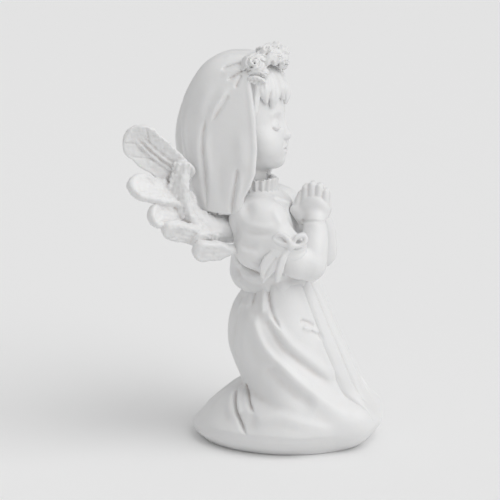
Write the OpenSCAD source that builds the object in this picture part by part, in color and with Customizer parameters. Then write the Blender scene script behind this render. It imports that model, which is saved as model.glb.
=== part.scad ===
// Kneeling angel figurine, cast in white resin as separate pieces that plug and bond together.
// Frame: millimetres, +Z up, the figure faces -Y, its right hand is at -X, and the origin is
// the middle of the flat underside.

/* [Base and gown] */
// Length of the footprint, from the knees to the tip of the train
base_l = 73; // [71:0.5:75]
// Width of the footprint across the spread of the gown
base_w = 59; // [56:0.5:62]
// Height of the waist seam
waist_z = 59; // [58:0.5:60]
// Width of the hips
hip_w = 43; // [41:0.5:46]

/* [Upper body] */
// Width of the bloused bodice just above the waist
bodice_w = 36; // [34:0.5:38]
// Height of the shoulders
shoulder_z = 90; // [89.5:0.5:91]
// Diameter of the neck
neck_d = 13; // [11:0.5:14]

/* [Head] */
// Width of the head without the veil
head_w = 33; // [32:0.5:34]
// Height of the middle of the skull
head_z = 126; // [125.5:0.5:127]
// Width of the veil at the cheeks
veil_w = 40; // [39:0.5:41]
// Height of the veil's hem
hem_z = 88; // [87:0.5:89]
// Diameter of the middle rose of the wreath
rose_d = 12.5; // [12:0.5:13.5]

/* [Wings] */
// Width across both wing tips
wing_span = 74; // [72:1:78]
// Thickness of a feather
feather_t = 2.6; // [2.4:0.1:3]

/* [Joints] */
// Diameter of the waist and neck plugs
plug_d = 9; // [8:0.5:10]
// Diameter of the wing plugs
wing_plug_d = 5; // [4:0.5:5]
// Gap round each plug for the glue
glue_gap = 0.1; // [0.05:0.05:0.2]

/* [Hidden] */

resin = "WhiteSmoke";
ball_fn = 20;
ring_points = 32;
big = 400;

// Ovals that the gown passes through: height, front, back, half width.
knee_y = -base_l / 2;
train_y = base_l / 2;
hem_r = base_w / 2;
hip_r = hip_w / 2;
gown_ovals = [
    [0, knee_y + 3, train_y - 1, hem_r - 1.5],
    [3, knee_y, train_y, hem_r],
    [9, knee_y + 0.2, train_y - 4, hem_r - 0.5],
    [14, knee_y + 3.5, train_y - 9, hem_r - 2.5],
    [18.5, knee_y + 6, train_y - 15.5, hem_r - 4.5],
    [22, knee_y + 8, train_y - 21, hip_r + 2.5],
    [28, knee_y + 10.5, train_y - 17.5, hip_r + 1],
    [36, knee_y + 14, train_y - 15, hip_r],
    [44, knee_y + 18, train_y - 15, hip_r - 0.5],
    [52, knee_y + 21.5, train_y - 17, hip_r - 2.5],
    [waist_z - 1, knee_y + 24.5, train_y - 20.5, hip_r - 5],
    [waist_z + 3, knee_y + 26, train_y - 23, hip_r - 7]
];

blouse_r = bodice_w / 2;
bodice_ovals = [
    [waist_z - 2, -6, 15, blouse_r - 5],
    [waist_z + 1, -9.5, 19, blouse_r - 1.5],
    [waist_z + 5, -10.5, 21, blouse_r],
    [waist_z + 10, -8.5, 21, blouse_r],
    [waist_z + 18, -4.5, 20, blouse_r - 1.5],
    [shoulder_z - 4, -1.5, 20, blouse_r - 2.5],
    [shoulder_z, 0.8, 20, blouse_r - 4.5],
    [shoulder_z + 3, 4, 19, blouse_r - 8.5]
];

neck_foot = [0, 11.5, shoulder_z];
neck_top = [0, 15, shoulder_z + 18];

skull = [0, 18.5, head_z];
cheeks = [0, 10.5, head_z - 13];
chin = [0, 5.2, head_z - 20.2];

veil_r = veil_w / 2;
veil_edge_y = 8.5;
veil_ovals = [
    [hem_z, -2, 29, veil_r - 2],
    [hem_z + 8, -5, 35, veil_r - 0.5],
    [hem_z + 22, -6, 41, veil_r],
    [head_z - 4, -5, 41, veil_r],
    [head_z + 4, -2, 39, veil_r - 0.5],
    [head_z + 11, 2, 35, veil_r - 2.5],
    [head_z + 16, 6, 30, veil_r - 7],
    [head_z + 19.5, 13, 24.5, veil_r - 14]
];

sleeve = [16.5, 5.5, 84];
cuff = [16.5, -3, 76.5];
elbow = [11.5, -10.8, 69.5];
wrist = [4.4, -12, 84];
palm = [2.6, -9.4, 89.5];
finger_tips = [2.3, -10.8, 95.6];
hand_gap = 0.1;

wing_root = [8, 19, 82];
wing_wrist = [21, 32, 106];
wing_plug_depth = 9;

// Where the tip of each feather lies, for the wing at +X, from the longest down to the innermost.
tip_x = wing_span / 2;
feather_tips = [[tip_x - 4, 50, 117.5], [tip_x - 1, 49.5, 103], [tip_x, 43.5, 93.5],
                [tip_x - 2, 37, 84], [tip_x - 6, 28.5, 78], [tip_x - 12, 19, 74]];
feather_w = 15;

// --- small helpers -------------------------------------------------------------------------

function lerp(a, b, t) = a + (b - a) * t;
function unit(v) = v / norm(v);

// An ellipsoid with radii r, centred at c.
module ball(c, r, fn = ball_fn) {
    translate(c) scale(r) sphere(r = 1, $fn = fn);
}

// The same child on both sides of the figure.
module both() {
    children();
    mirror([1, 0, 0]) children();
}

// A rounded rod from a to b.
module limb(a, ra, b, rb, fn = 18) {
    hull() {
        translate(a) sphere(r = ra, $fn = fn);
        translate(b) sphere(r = rb, $fn = fn);
    }
}

// Puts X along dir and Y as near to side as it can be, at the point p.
module aim(p, dir, side) {
    x = unit(dir);
    z = unit(cross(x, side));
    y = cross(z, x);
    multmatrix([[x[0], y[0], z[0], p[0]], [x[1], y[1], z[1], p[1]], [x[2], y[2], z[2], p[2]], [0, 0, 0, 1]])
        children();
}

// A closed skin through ovals, each [height, front, back, half width]. With egg above 0 they
// narrow towards the front.
module loft(ovals, egg = 0, n = ring_points) {
    rings = len(ovals);
    points = [for (o = ovals) for (i = [0:n - 1])
        let (s = sin(360 * i / n), x = o[3] * cos(360 * i / n) * (1 + egg * s))
            [x, (o[1] + o[2] + (o[2] - o[1]) * s) / 2, o[0]]];
    walls = [for (k = [0:rings - 2]) for (i = [0:n - 1])
        let (a = k * n + i, b = k * n + (i + 1) % n) each [[a, a + n, b + n], [a, b + n, b]]];
    lid = [for (i = [0:n - 1]) (rings - 1) * n + n - 1 - i];
    polyhedron(points, concat([[for (i = [0:n - 1]) i]], walls, [lid]));
}

// A curve's worth of ovals between each two that are given.
function blend(p, q, r, s, t) =
    0.5 * (2 * q + (r - p) * t + (2 * p - 5 * q + 4 * r - s) * t * t + (3 * q - p - 3 * r + s) * t * t * t);

function smooth(ovals, steps = 2) =
    let (last = len(ovals) - 1)
    concat([for (k = [0:last - 1]) for (j = [0:steps - 1])
        blend(ovals[max(k - 1, 0)], ovals[k], ovals[k + 1], ovals[min(k + 2, last)], j / steps)],
        [ovals[last]]);

// Keeps a sculpted piece as one faceted body.
module sculpt() {
    color(resin) resize([0, 0, 0]) children();
}

// A straight round plug that runs from p along dir.
module plug(p, dir, d, l) {
    aim(p, dir, [0, 0.1, 1]) rotate([0, 90, 0]) cylinder(d = d, h = l, $fn = 32);
}

// --- gown ----------------------------------------------------------------------------------

module gown_form() {
    loft(smooth(gown_ovals), egg = 0.08);
}

module waist_plug(gap = 0) {
    plug([0, 3, waist_z + 3], [0, 0, -1], plug_d + 2 * gap, 12 + gap);
}

module skirt() {
    sculpt() difference() {
        gown_form();
        waist_plug(glue_gap);
    }
}

// --- bodice, collar and sleeves ------------------------------------------------------------

module torso_form() {
    loft(smooth(bodice_ovals));
}

module neck_plug(gap = 0) {
    plug(neck_foot + [0, 0, 4], [0, 0, -1], plug_d + 2 * gap, 14 + gap);
}

function wing_plug_dir() = unit([-0.45, -1, 0]);

module wing_plug(gap = 0) {
    start = wing_root - 3 * wing_plug_dir();
    plug(start, wing_plug_dir(), wing_plug_d + 2 * gap, wing_plug_depth + gap);
}

module bodice() {
    sculpt() {
        difference() {
            torso_form();
            gown_form();
            neck_plug(glue_gap);
            both() wing_plug(glue_gap);
        }
        waist_plug();
    }
}

// A narrow frill of cloth round the neck.
module collar() {
    pleats = 16;
    outer = neck_d / 2 + 2.4;
    depth = 0.5;
    outline = [for (i = [0:pleats * 4 - 1])
        let (a = 90 * i / pleats, r = outer + depth * cos(i * 90)) [r * cos(a), r * sin(a)]];
    sculpt() difference() {
        translate(neck_foot) linear_extrude(6, scale = 0.85) polygon(outline);
        torso_form();
        neck_form();
    }
}

module sleeve_form() {
    hull() {
        ball(sleeve, [6.5, 9.5, 9.5]);
        ball(cuff, [5.5, 5.5, 5.5]);
    }
}

module left_sleeve() {
    sculpt() difference() {
        sleeve_form();
        torso_form();
        arm_peg(glue_gap);
    }
}

module right_sleeve() {
    mirror([1, 0, 0]) left_sleeve();
}

// --- head ----------------------------------------------------------------------------------

module neck_form() {
    hull() {
        translate(neck_foot) cylinder(d = neck_d, h = 1, $fn = 32);
        translate(neck_top) sphere(d = neck_d, $fn = 24);
    }
}

module face_form() {
    hull() {
        ball(skull, [head_w / 2, 17.5, 18.5]);
        ball(cheeks, [head_w / 2 - 1.5, 11, 9]);
        ball(chin, [6, 4.6, 4.2]);
    }
}

module head_form() {
    face_form();
    neck_form();
    limb(cheeks + [0, -10.6, 2], 1.6, cheeks + [0, -9, 7], 1.2, 12);
}

module head() {
    sculpt() {
        difference() {
            head_form();
            torso_form();
        }
        neck_plug();
    }
}

// Locks of hair across the brow, from under the wreath.
module fringe_form() {
    locks = 4;
    both() for (i = [0:locks - 1]) {
        t = (i + 0.5) / locks;
        top = [lerp(1, 14.5, t), lerp(5, 13, t), lerp(142, 138, t)];
        brow = [lerp(1.5, 15.5, t), lerp(2, 9, t), lerp(129, 126, t)];
        limb(top, 3.6, brow, 2.4, 12);
    }
}

module fringe() {
    sculpt() difference() {
        fringe_form();
        head_form();
    }
}

// --- veil ----------------------------------------------------------------------------------

// The veil hangs from the crown, and is cut away in front of the face.
module veil_form() {
    difference() {
        loft(smooth(veil_ovals));
        translate([-big / 2, veil_edge_y - big, 0]) cube([big, big, head_z + 15]);
    }
}

module veil() {
    sculpt() difference() {
        veil_form();
        head_form();
        fringe_form();
        torso_form();
        both() sleeve_form();
    }
}

// --- wreath --------------------------------------------------------------------------------

// A rose: petals round a bud, facing +Z.
module rose(c, d, tilt) {
    petals = 5;
    translate(c) rotate(tilt) {
        ball([0, 0, -d * 0.05], [d * 0.34, d * 0.34, d * 0.26], 14);
        for (i = [0:petals - 1]) rotate(i * 360 / petals) translate([d * 0.26, 0, -d * 0.04]) rotate([0, 25, 0])
            ball([0, 0, 0], [d * 0.24, d * 0.28, d * 0.15], 10);
        ball([0, 0, d * 0.14], [d * 0.2, d * 0.2, d * 0.2], 10);
    }
}

module crown_cut() {
    difference() {
        children();
        veil_form();
        fringe_form();
        head_form();
    }
}

front_d = rose_d - 1;
side_d = rose_d - 1.5;

module rose_middle_form() {
    rose([0, 2.5, 144], rose_d, [55, 0, 0]);
}

module rose_front_form() {
    rose([7.5, 6, 145], front_d, [40, 22, 0]);
}

module rose_side_form() {
    rose([14.5, 9, 141], side_d, [35, 55, 0]);
}

module rose_middle() {
    sculpt() crown_cut() rose_middle_form();
}

module rose_left_front() {
    sculpt() crown_cut() difference() {
        rose_front_form();
        rose_middle_form();
    }
}

module rose_right_front() {
    mirror([1, 0, 0]) rose_left_front();
}

module rose_left_side() {
    sculpt() crown_cut() difference() {
        rose_side_form();
        rose_front_form();
    }
}

module rose_right_side() {
    mirror([1, 0, 0]) rose_left_side();
}

module leaf_left() {
    sculpt() crown_cut() difference() {
        hull() {
            ball([17.5, 8, 136], [1.8, 3.5, 2.5], 14);
            ball([16.5, 4, 134], [1, 1.2, 1.2], 14);
        }
        rose_side_form();
    }
}

module leaf_right() {
    mirror([1, 0, 0]) leaf_left();
}

// --- arms and bows -------------------------------------------------------------------------

module arm_peg(gap = 0) {
    plug(elbow, cuff - elbow, 5 + 2 * gap, norm(cuff - elbow) + 3 + gap);
}

module hand_form() {
    hull() {
        ball(wrist, [4.3, 5, 4]);
        ball(palm, [2.6, 7.2, 4]);
    }
    hull() {
        ball(palm, [2.6, 7.2, 4]);
        ball(finger_tips, [2.3, 5, 2.6]);
    }
}

module arm_form() {
    limb(cuff, 5.2, elbow, 6.3);
    limb(elbow, 6.3, wrist, 4.8);
    hand_form();
}

module left_arm() {
    sculpt() difference() {
        union() {
            difference() {
                arm_form();
                sleeve_form();
            }
            arm_peg();
        }
        torso_form();
        gown_form();
        translate([hand_gap - big, -big / 2, 0]) cube(big);
    }
}

module right_arm() {
    mirror([1, 0, 0]) left_arm();
}

// A ribbon bow on the outside of the cuff: a knot, four loops and two tails.
module bow_form() {
    knot = [22.3, -3.2, 77.5];
    ends = [[20.5, -9, 81], [19.5, -9.5, 77], [22.3, 2.8, 80.5], [22.5, 3, 76],
            [21.8, 2.5, 67.5], [20, -1.5, 66]];
    ball(knot, [2, 2.3, 2.3], 12);
    for (e = ends) hull() {
        ball(knot, [1.3, 1.3, 1.3], 8);
        ball(e, [1.5, 2.3, 1.9], 12);
    }
}

module left_bow() {
    sculpt() difference() {
        bow_form();
        sleeve_form();
        arm_form();
        torso_form();
        gown_form();
    }
}

module right_bow() {
    mirror([1, 0, 0]) left_bow();
}

// --- wings ---------------------------------------------------------------------------------

// A flat feather from its foot to its tip, with its width along side.
module feather(foot, tip, side) {
    l = norm(tip - foot);
    aim(foot, tip - foot, side) hull() {
        ball([0, 0, 0], [2, feather_w * 0.3, feather_t * 0.7], 8);
        ball([l - feather_w * 0.5, 0, 0], [feather_w * 0.5, feather_w * 0.5, feather_t / 2], 14);
    }
}

module wing_form() {
    last = len(feather_tips) - 1;
    for (i = [0:last]) {
        foot = lerp(wing_wrist - [1, 1, 3], wing_root + [3, -1, -1], i / last);
        side = feather_tips[min(i + 1, last)] - feather_tips[max(i - 1, 0)];
        feather(foot, feather_tips[i], side);
    }
    limb(wing_root, 4, wing_wrist, 4.2, 14);
    limb(wing_wrist, 4.2, wing_wrist + [4, 2, -12], 3.4, 14);
}

module left_wing() {
    sculpt() {
        difference() {
            wing_form();
            veil_form();
            torso_form();
            sleeve_form();
        }
        wing_plug();
    }
}

module right_wing() {
    mirror([1, 0, 0]) left_wing();
}

// --- assembly ------------------------------------------------------------------------------

skirt();
bodice();
collar();
head();
fringe();
veil();
rose_middle();
rose_right_front();
rose_left_front();
rose_right_side();
rose_left_side();
leaf_right();
leaf_left();
right_sleeve();
left_sleeve();
right_arm();
left_arm();
right_bow();
left_bow();
right_wing();
left_wing();
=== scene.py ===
import math

import bpy
import numpy as np
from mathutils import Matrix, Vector


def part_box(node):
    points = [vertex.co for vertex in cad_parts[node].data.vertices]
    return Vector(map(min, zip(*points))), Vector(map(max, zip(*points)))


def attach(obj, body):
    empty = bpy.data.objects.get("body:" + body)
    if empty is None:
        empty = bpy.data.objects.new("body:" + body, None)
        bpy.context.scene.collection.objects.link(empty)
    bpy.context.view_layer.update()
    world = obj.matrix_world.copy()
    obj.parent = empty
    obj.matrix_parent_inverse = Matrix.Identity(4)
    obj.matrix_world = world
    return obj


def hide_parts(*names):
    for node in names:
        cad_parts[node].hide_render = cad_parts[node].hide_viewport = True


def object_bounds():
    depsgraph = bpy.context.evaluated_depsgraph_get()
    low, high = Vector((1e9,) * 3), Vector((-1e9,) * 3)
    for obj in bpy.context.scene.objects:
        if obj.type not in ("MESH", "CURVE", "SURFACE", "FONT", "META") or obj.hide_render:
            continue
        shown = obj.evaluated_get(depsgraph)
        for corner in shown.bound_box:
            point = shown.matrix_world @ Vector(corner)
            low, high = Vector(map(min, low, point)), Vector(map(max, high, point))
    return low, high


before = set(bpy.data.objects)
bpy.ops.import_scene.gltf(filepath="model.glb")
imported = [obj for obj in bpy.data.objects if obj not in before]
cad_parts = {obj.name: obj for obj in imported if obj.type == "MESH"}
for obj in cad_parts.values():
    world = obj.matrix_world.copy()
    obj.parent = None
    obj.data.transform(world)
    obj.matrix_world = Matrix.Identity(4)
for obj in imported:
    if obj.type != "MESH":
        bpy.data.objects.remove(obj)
cad_box = [list(corner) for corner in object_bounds()]

# The resin angel figurine. Each piece is modelled like clay, as a distance field in millimetres in
# the frame's own axes: the figure faces -Y and its right hand is at -X. It is then skinned as a mesh.

MM = 0.001


class Box:
    """The corners, middle and size of a CAD node, in mm."""

    def __init__(self, lo, hi):
        self.lo, self.hi = np.array(lo) / MM, np.array(hi) / MM
        self.mid, self.size = (self.lo + self.hi) / 2, self.hi - self.lo


def box(node):
    return Box(*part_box(node))


# --- modelling clay: signed distances in mm, negative inside ---

FAR = 30.0  # stands for any distance that isn't worked out
REACH = 3.0  # how far round a form its distances are worked out


def unit(v):
    v = np.asarray(v, float)
    return v / np.linalg.norm(v)


def length(v):
    return np.sqrt(np.einsum("ij,ij->i", v, v))


def ramp(x, a, b):
    """Rises smoothly from 0 at a to 1 at b."""
    t = np.clip((x - a) / (b - a), 0, 1)
    return t * t * (3 - 2 * t)


def soft_min(a, b, k):
    """The smaller of a and b, with a fillet about k wide where they meet."""
    h = np.maximum(k - np.abs(a - b), 0) / np.maximum(k, 1e-6)
    return np.minimum(a, b) - h * h * (k / 4)


class Form:
    """A shape: its distance function and the box that holds it."""

    def __init__(self, distance, lo, hi):
        self.distance, self.lo, self.hi = distance, np.asarray(lo, float), np.asarray(hi, float)


class Clay:
    """A shape built up and carved at the points p."""

    def __init__(self, p):
        self.p = p
        self.d = np.full(len(p), FAR, np.float32)

    def near(self, form, reach=REACH):
        p = self.p
        keep = np.ones(len(p), bool)
        for axis in range(3):
            keep &= (p[:, axis] > form.lo[axis] - reach) & (p[:, axis] < form.hi[axis] + reach)
        return np.flatnonzero(keep)

    def add(self, form, soft=0.6):
        i = self.near(form)
        if len(i):
            self.d[i] = soft_min(self.d[i], form.distance(self.p[i]), soft)

    def cut(self, form, soft=0.4):
        i = self.near(form, soft)
        if len(i):
            self.d[i] = -soft_min(-self.d[i], form.distance(self.p[i]), soft)

    def swell(self, amount):
        """Moves the surface out by amount, a number or one number a point."""
        self.d -= amount

    def crease(self, path, a, b, width, depth, where=1.0, fade=(0.15, 0.25), soft=0.7):
        """Cuts a V along path, a curve in the 2-D coordinates (a, b): width is half its width and depth its
        depth at the surface, and where is 1 at the points that it may cut."""
        where = np.broadcast_to(where, len(a))
        i = np.flatnonzero(beside(path, a, b, 3 * width) & (where > 0.02)
                           & (np.abs(self.d) < 2 * depth + 1))
        s, t = along(path, a[i], b[i])
        share = ramp(t, 0, fade[0]) * (1 - ramp(t, 1 - fade[1], 1)) * where[i] + 0.01
        wedge = np.abs(s) - width * share * (1 + self.d[i] / (depth * share))
        self.d[i] = -soft_min(-self.d[i], wedge * 0.85, soft * share)


def ball(c, r, axes=None):
    """An ellipsoid at c with radii r along the rows of axes."""
    c, r = np.asarray(c, np.float32), np.broadcast_to(np.asarray(r, np.float32), 3)
    axes = np.eye(3, dtype=np.float32) if axes is None else np.asarray(axes, np.float32)
    half = np.sqrt(((axes * r[:, None]) ** 2).sum(0))

    def distance(p):
        q = (p - c) @ axes.T / r
        k0 = length(q)
        return k0 * (k0 - 1) / (length(q / r) + 1e-6)

    return Form(distance, c - half, c + half)


def curve(points, per_span=4):
    """A smooth line through points, as more points."""
    q = np.asarray(points, float)
    q = np.vstack([2 * q[0] - q[1], q, 2 * q[-1] - q[-2]])
    t = np.linspace(0, 1, per_span, endpoint=False)[:, None]
    out = []
    for a, b, c, d in zip(q, q[1:], q[2:], q[3:]):
        out.append(0.5 * (2 * b + (c - a) * t + (2 * a - 5 * b + 4 * c - d) * t**2
                          + (3 * b - a - 3 * c + d) * t**3))
    return np.vstack(out + [q[-2:-1]])


def rod(points, radii, per_span=4):
    """A round tube through points. radii is one radius, or one a point."""
    radii = np.broadcast_to(np.asarray(radii, float), len(points))
    line = np.column_stack([points, radii])
    if len(points) > 2:
        line = curve(line, per_span)
    line = line.astype(np.float32)

    def distance(p):
        best = np.full(len(p), FAR, np.float32)
        for a, b in zip(line, line[1:]):
            ab = b[:3] - a[:3]
            q = p - a[:3]
            t = np.clip(q @ ab / max(ab @ ab, 1e-9), 0, 1)
            best = np.minimum(best, length(q - t[:, None] * ab) - (a[3] + t * (b[3] - a[3])))
        return best

    r = line[:, 3].max()
    return Form(distance, line[:, :3].min(0) - r, line[:, :3].max(0) + r)


def strap(points, half_width, half_thick, across):
    """A flat band through points, with its width along across."""
    n = len(points)
    widths = np.broadcast_to(np.asarray(half_width, float), n)
    across = np.broadcast_to(np.asarray(across, float), (n, 3))
    line = curve(np.column_stack([points, widths, across]), 4).astype(np.float32)
    rim = half_thick * 0.9

    def distance(p):
        best = np.full(len(p), FAR, np.float32)
        for a, b in zip(line, line[1:]):
            ab = b[:3] - a[:3]
            u = ab / max(np.linalg.norm(ab), 1e-6)
            v = a[4:] + b[4:]
            v = v - (v @ u) * u
            v = v / max(np.linalg.norm(v), 1e-6)
            w = np.cross(u, v)
            q = p - a[:3]
            t = np.clip(q @ ab / max(ab @ ab, 1e-9), 0, 1)
            e = q - t[:, None] * ab
            side = np.abs(e @ v) - (a[3] + t * (b[3] - a[3])) + rim
            face = np.abs(e @ w) - half_thick + rim
            end = e @ u
            out = np.sqrt(np.maximum(side, 0) ** 2 + np.maximum(face, 0) ** 2 + end**2)
            best = np.minimum(best, out + np.minimum(np.maximum(side, face), 0) - rim)
        return best

    r = widths.max() + half_thick
    return Form(distance, line[:, :3].min(0) - r, line[:, :3].max(0) + r)


def loft(ovals, power=2.0):
    """A body through ovals, each (height, front y, back y, half width), with a flat top and bottom.
    A power above 2 squares the ovals' corners."""
    rows = curve(ovals, 6).astype(np.float32)
    z, front, back, half = rows.T
    lean = np.maximum(np.abs(np.gradient(half, z)), np.abs(np.gradient(back, z)))
    steep = 1 / np.sqrt(1 + lean**2 * 0.5)

    def distance(p):
        h = p[:, 2]
        f, b, w = (np.interp(h, z, side) for side in (front, back, half))
        r = np.stack([w, (b - f) / 2], 1)
        q = np.abs(np.stack([p[:, 0], p[:, 1] - (f + b) / 2], 1)) / r + 1e-4
        k0 = (q ** power).sum(1) ** (1 / power)
        slope = np.hypot(*((q / k0[:, None]) ** (power - 1) / r).T)
        wall = (k0 - 1) / slope * np.interp(h, z, steep)
        return np.maximum(wall, np.maximum(z[0] - h, h - z[-1])).astype(np.float32)

    return Form(distance, (-half.max(), front.min(), z[0]), (half.max(), back.max(), z[-1]))


def beside(path, a, b, reach):
    """Which of the 2-D points (a, b) lie in the box round path or up to reach outside it."""
    lo, hi = np.min(path, 0) - reach, np.max(path, 0) + reach
    return (a > lo[0]) & (a < hi[0]) & (b > lo[1]) & (b < hi[1])


def along(path, a, b):
    """How far the 2-D points (a, b) are from a curve through path, positive on its left, and how far
    along it they are, from 0 to 1."""
    line = curve(path, 4).astype(np.float32)
    spans = len(line) - 1
    best = np.full(len(a), FAR, np.float32)
    side = np.zeros(len(a), np.float32)
    place = np.zeros(len(a), np.float32)
    for k, (s, e) in enumerate(zip(line, line[1:])):
        u = e - s
        qa, qb = a - s[0], b - s[1]
        t = np.clip((qa * u[0] + qb * u[1]) / (u @ u), 0, 1)
        far = np.hypot(qa - t * u[0], qb - t * u[1])
        closer = far < best
        best = np.where(closer, far, best)
        side = np.where(closer, np.sign(u[0] * qb - u[1] * qa), side)
        place = np.where(closer, (k + t) / spans, place)
    return best * side, place


def fold(path, a, b, height, left, right, fade=(0.12, 0.2)):
    """A ridge (or with height below 0 a groove) along path: left and right are its widths on each
    side, and fade the shares of its length over which it rises and dies away."""
    i = np.flatnonzero(beside(path, a, b, 2.6 * max(left, right)))
    out = np.zeros(len(a), np.float32)
    s, t = along(path, a[i], b[i])
    ends = ramp(t, 0, fade[0]) * (1 - ramp(t, 1 - fade[1], 1))
    out[i] = height * ends * np.exp(-((s / np.where(s > 0, left, right)) ** 2))
    return out


def add_folds(out, folds, a, b, where=1.0, fade=(0.12, 0.2)):
    """Adds folds, each a path, a height and its widths on the left and right, to out, how far the clay
    swells. where is 1 at the points that they may change."""
    for path, height, left, right in folds:
        out += fold(path, a, b, height, left, right, fade) * where


def lumps(p, size, seed):
    """Slow random unevenness between about -1 and 1, with bumps about size mm across."""
    rng = np.random.default_rng(seed)
    total = np.zeros(len(p), np.float32)
    for _ in range(8):
        way = rng.normal(size=3)
        way *= 2 * math.pi / size / np.linalg.norm(way) * rng.uniform(0.6, 1.4)
        total += np.sin(p @ way.astype(np.float32) + rng.uniform(0, 6.28))
    return total / 4


# --- from clay to mesh ---

CORNERS = np.array([(i, j, k) for i in (0, 1) for j in (0, 1) for k in (0, 1)])
EDGES = [(a, b) for a in range(8) for b in range(a + 1, 8) if np.abs(CORNERS[a] - CORNERS[b]).sum() == 1]
BLOCK = 4  # steps along a block's side
BATCH = 400000  # points worked out at once


def sample(field, lo, hi, step):
    """field on a grid with that step over the box, worked out only in the blocks that the surface may
    pass through: those whose middle is nearer to it than their own corners are, with room to spare."""
    wide = step * BLOCK
    blocks = np.ceil((hi - lo) / wide).astype(int)
    where = np.stack(np.meshgrid(*(np.arange(n) for n in blocks), indexing="ij"), -1).reshape(-1, 3)
    middle = (lo + (where + 0.5) * wide).astype(np.float32)
    rough = field(middle)
    grid = np.repeat(np.repeat(np.repeat(np.sign(rough).reshape(blocks), BLOCK, 0), BLOCK, 1), BLOCK, 2)
    grid = (grid * FAR).astype(np.float32)
    hot = np.flatnonzero(np.abs(rough) < wide * 1.35)
    inner = np.stack(np.meshgrid(*(np.arange(BLOCK),) * 3, indexing="ij"), -1).reshape(-1, 3)
    at = (where[hot][:, None, :] * BLOCK + inner[None]).reshape(-1, 3)
    for start in range(0, len(at), BATCH):
        ijk = at[start:start + BATCH]
        grid[ijk[:, 0], ijk[:, 1], ijk[:, 2]] = field((lo + ijk * step).astype(np.float32))
    return grid


def skin(field, lo, hi, step):
    """The surface where field is 0, as points and four-sided faces."""
    lo, hi = np.asarray(lo, float) - 2 * step, np.asarray(hi, float) + 2 * step
    grid = sample(field, lo, hi, step)
    inside = grid < 0
    shape = np.array(grid.shape) - 1
    count = sum(inside[i:i + shape[0], j:j + shape[1], k:k + shape[2]].astype(np.uint8)
                for i, j, k in CORNERS)
    cells = np.argwhere((count > 0) & (count < 8))
    values = np.stack([grid[tuple((cells + c).T)] for c in CORNERS], 1)
    total, crossings = np.zeros((len(cells), 3)), np.zeros(len(cells))
    for a, b in EDGES:
        va, vb = values[:, a], values[:, b]
        cross = (va < 0) != (vb < 0)
        t = np.where(cross, va / np.where(cross, va - vb, 1), 0)[:, None]
        total += np.where(cross[:, None], CORNERS[a] * (1 - t) + CORNERS[b] * t, 0)
        crossings += cross
    points = lo + (cells + total / crossings[:, None]) * step
    number = np.full(shape, -1, np.int32)
    number[tuple(cells.T)] = np.arange(len(cells))
    faces = []
    for axis in range(3):
        u, v = np.eye(3, dtype=int)[(axis + 1) % 3], np.eye(3, dtype=int)[(axis + 2) % 3]
        w = np.eye(3, dtype=int)[axis]
        near_end = inside[:shape[0], :shape[1], :shape[2]]
        far_end = inside[w[0]:w[0] + shape[0], w[1]:w[1] + shape[1], w[2]:w[2] + shape[2]]
        edge = np.argwhere(near_end != far_end)
        edge = edge[(edge[:, (axis + 1) % 3] > 0) & (edge[:, (axis + 2) % 3] > 0)]
        ring = np.stack([number[tuple((edge - s).T)] for s in (u + v, v, 0 * u, u)], 1)
        flip = ~near_end[tuple(edge.T)]
        ring[flip] = ring[flip][:, ::-1]
        faces.append(ring)
    faces = np.vstack(faces)
    return points, faces[(faces >= 0).all(1)]


# --- the gown's skirt ---

SKIRT = box("skirt")
KNEE_Y, TRAIN_Y, HEM_R = SKIRT.lo[1], SKIRT.hi[1], SKIRT.hi[0]

# Each fold of one side: (y, z) points, height, its widths on the left and right of the path.
THIGH_FOLDS = [
    ([(8.5, 52), (7.2, 47), (5, 42), (1.5, 37.3), (-6, 30.8), (-13.5, 24.2), (-21.5, 18.3), (-27, 14)],
     1.9, 3.6, 1.7),
    ([(4.6, 51), (1.6, 46), (-2.0, 40.5), (-8.5, 34.5), (-15.5, 28.5), (-21, 23)], -1.2, 1.5, 1.8),
    ([(3.6, 53), (-0.6, 47.2), (-6.5, 40.3), (-13.8, 33.8), (-21.5, 26)], 1.1, 3.4, 1.7),
    ([(5.8, 61.5), (5.4, 56), (4.8, 51)], 0.8, 1.2, 0.9),
    ([(11.2, 61), (11.6, 57), (12, 52)], 0.6, 1.1, 1.1),
    ([(-9.4, 47.2), (-12, 45.8), (-14.5, 43.5)], 0.8, 0.9, 0.7),
    ([(13.4, 54), (16.5, 46), (17.8, 38), (15.8, 30)], -0.9, 1.2, 1.2),
    ([(9.6, 53), (12.4, 45), (12.2, 36), (8, 28)], 0.6, 2.0, 2.4),
    ([(3, 33.5), (-2, 27.5), (-8, 22.5), (-16, 18)], -1.1, 2.8, 3.6),
    ([(8, 13.5), (-2, 15.5), (-12, 13), (-23, 10)], 0.9, 3.0, 1.8),
    ([(28, 7.6), (12, 8.6), (0, 9.0), (-14, 8.4), (-27, 8.2)], 0.6, 1.0, 2.6),
    ([(15.4, 22), (14.6, 18.4), (12.4, 14)], 0.7, 1.3, 1.0),
    ([(18.6, 21.5), (18.2, 16), (15.6, 11)], 0.5, 1.6, 2.0)]
# Each crease of one side: (y, z) points, half its width, its depth.
THIGH_CREASES = [
    ([(3.7, 63), (3.4, 58), (2.2, 53.4), (0.2, 49.4), (-3, 45.6)], 0.9, 1.5),
    ([(8.6, 63), (8.9, 58), (9.8, 53)], 0.7, 1.1),
    ([(13.2, 62.5), (13.8, 58), (13.8, 54)], 0.6, 0.9),
    ([(-7.8, 49.2), (-10.6, 47.8), (-13.2, 45.8)], 0.8, 1.2),
    ([(-11.4, 45.4), (-14, 43.4), (-16.2, 41.0)], 0.6, 0.9),
    ([(16.8, 23.5), (16.6, 19.5), (14.8, 15), (11.4, 10.6), (8.4, 7.4)], 1.0, 2.4),
    ([(13, 23.5), (11.8, 20.5), (9.4, 17.2), (6.6, 15.2)], 0.9, 2.0)]
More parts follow.
